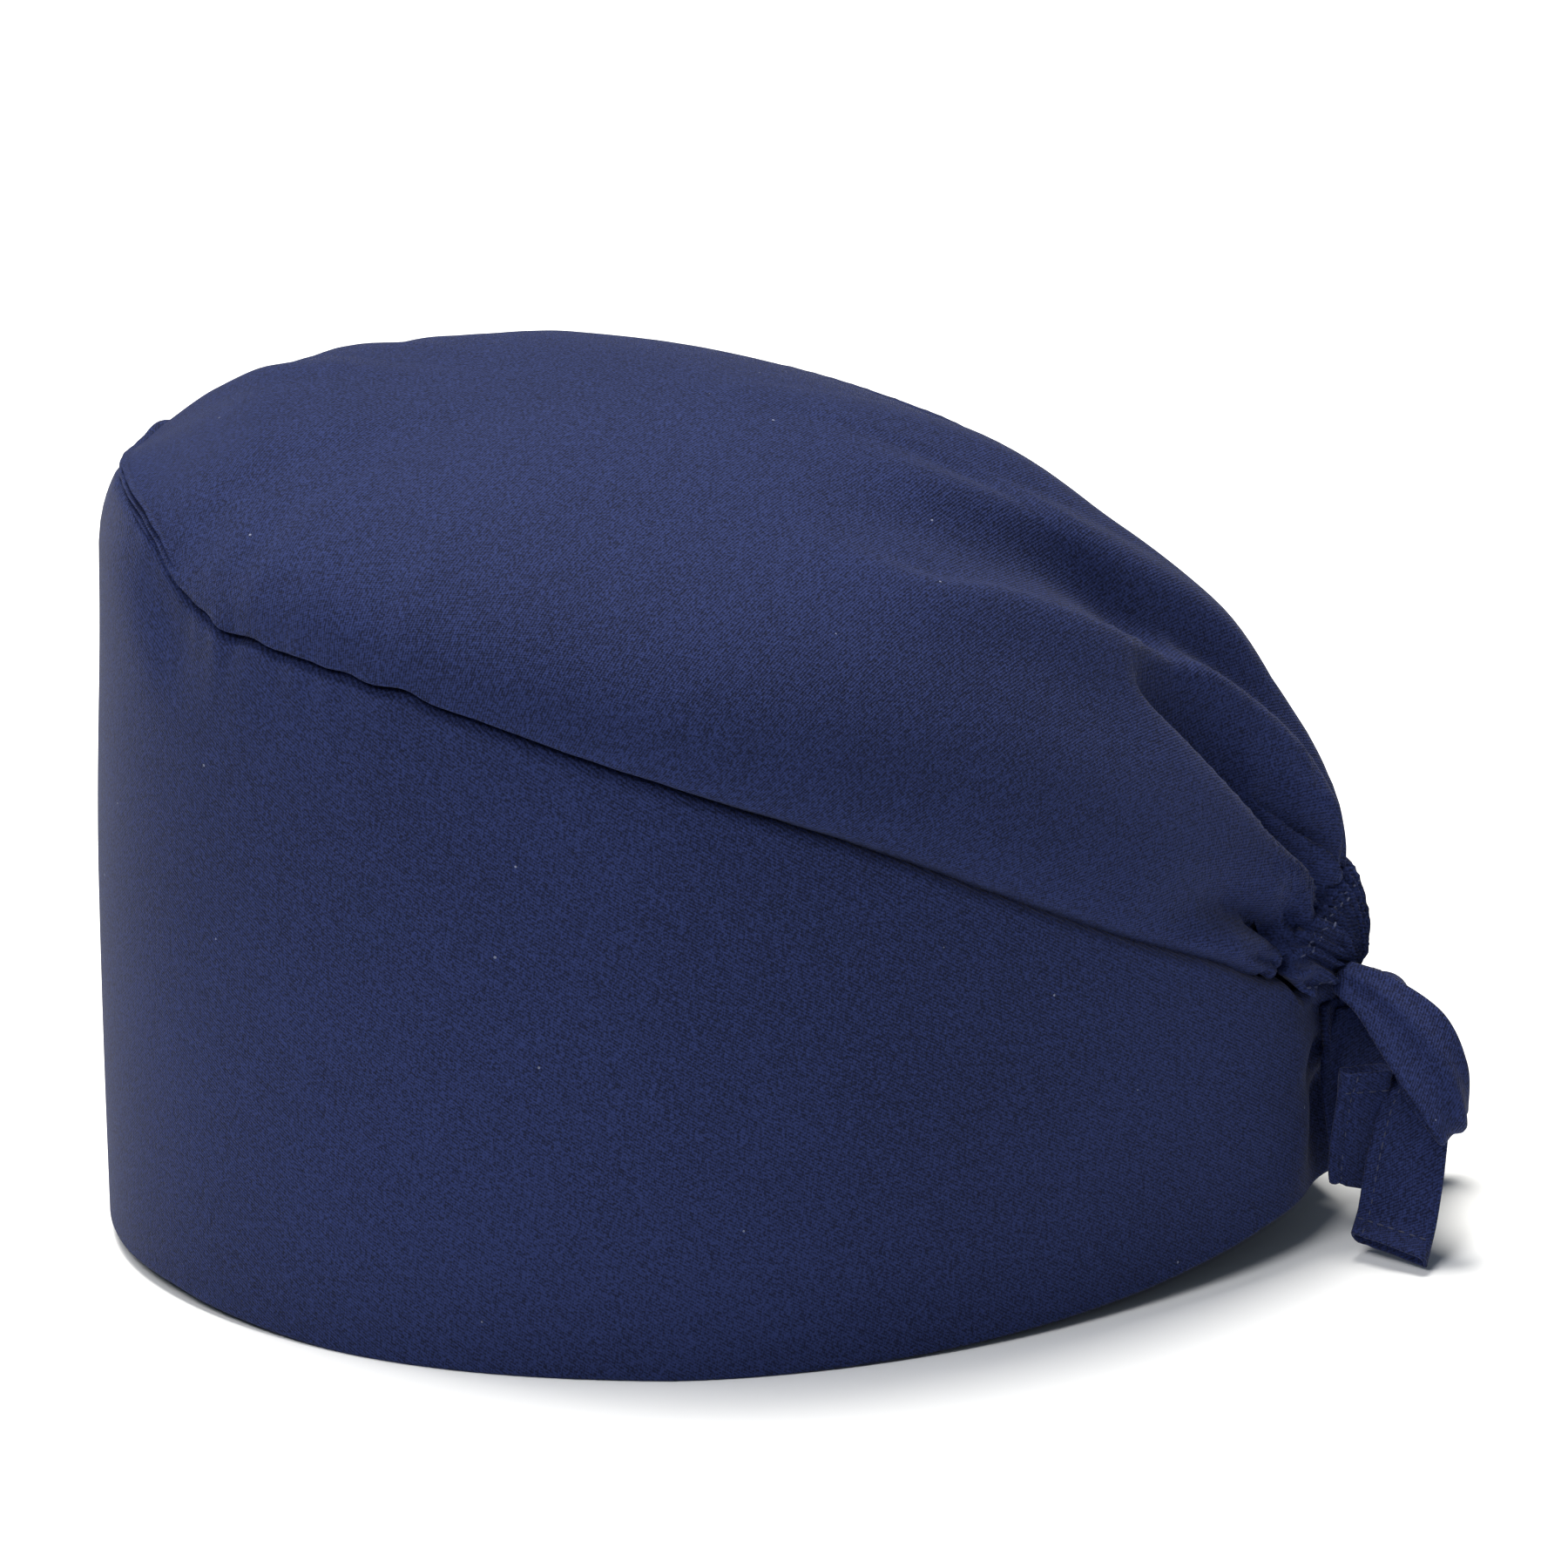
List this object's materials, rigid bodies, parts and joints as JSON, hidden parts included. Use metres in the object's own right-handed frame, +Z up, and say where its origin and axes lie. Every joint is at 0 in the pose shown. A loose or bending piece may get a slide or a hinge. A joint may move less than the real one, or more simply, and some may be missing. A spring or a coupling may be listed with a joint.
{
  "type": "scrub cap",
  "caption": "Soft cloth surgical cap with a tall side band, a domed crown gathered into an elastic casing at the back, and knotted ties under it.",
  "frame": {"origin": "under the middle of the whole cap, on the plane that its rim rests on", "axes": "+Z up, +Y from the front of the cap to its back where the ties are, +X towards the wearer's left"},
  "size_m": [0.161, 0.23, 0.1475],
  "materials": {
    "navy_twill": "matte fine cotton twill",
    "navy_tie": "matte fine cotton twill, two layers"
  },
  "bodies": {
    "root": {"band": "navy_twill", "crown": "navy_twill", "elastic_casing": "navy_twill", "tie_left": "navy_tie", "tie_right": "navy_tie"}
  },
  "joints": []
}
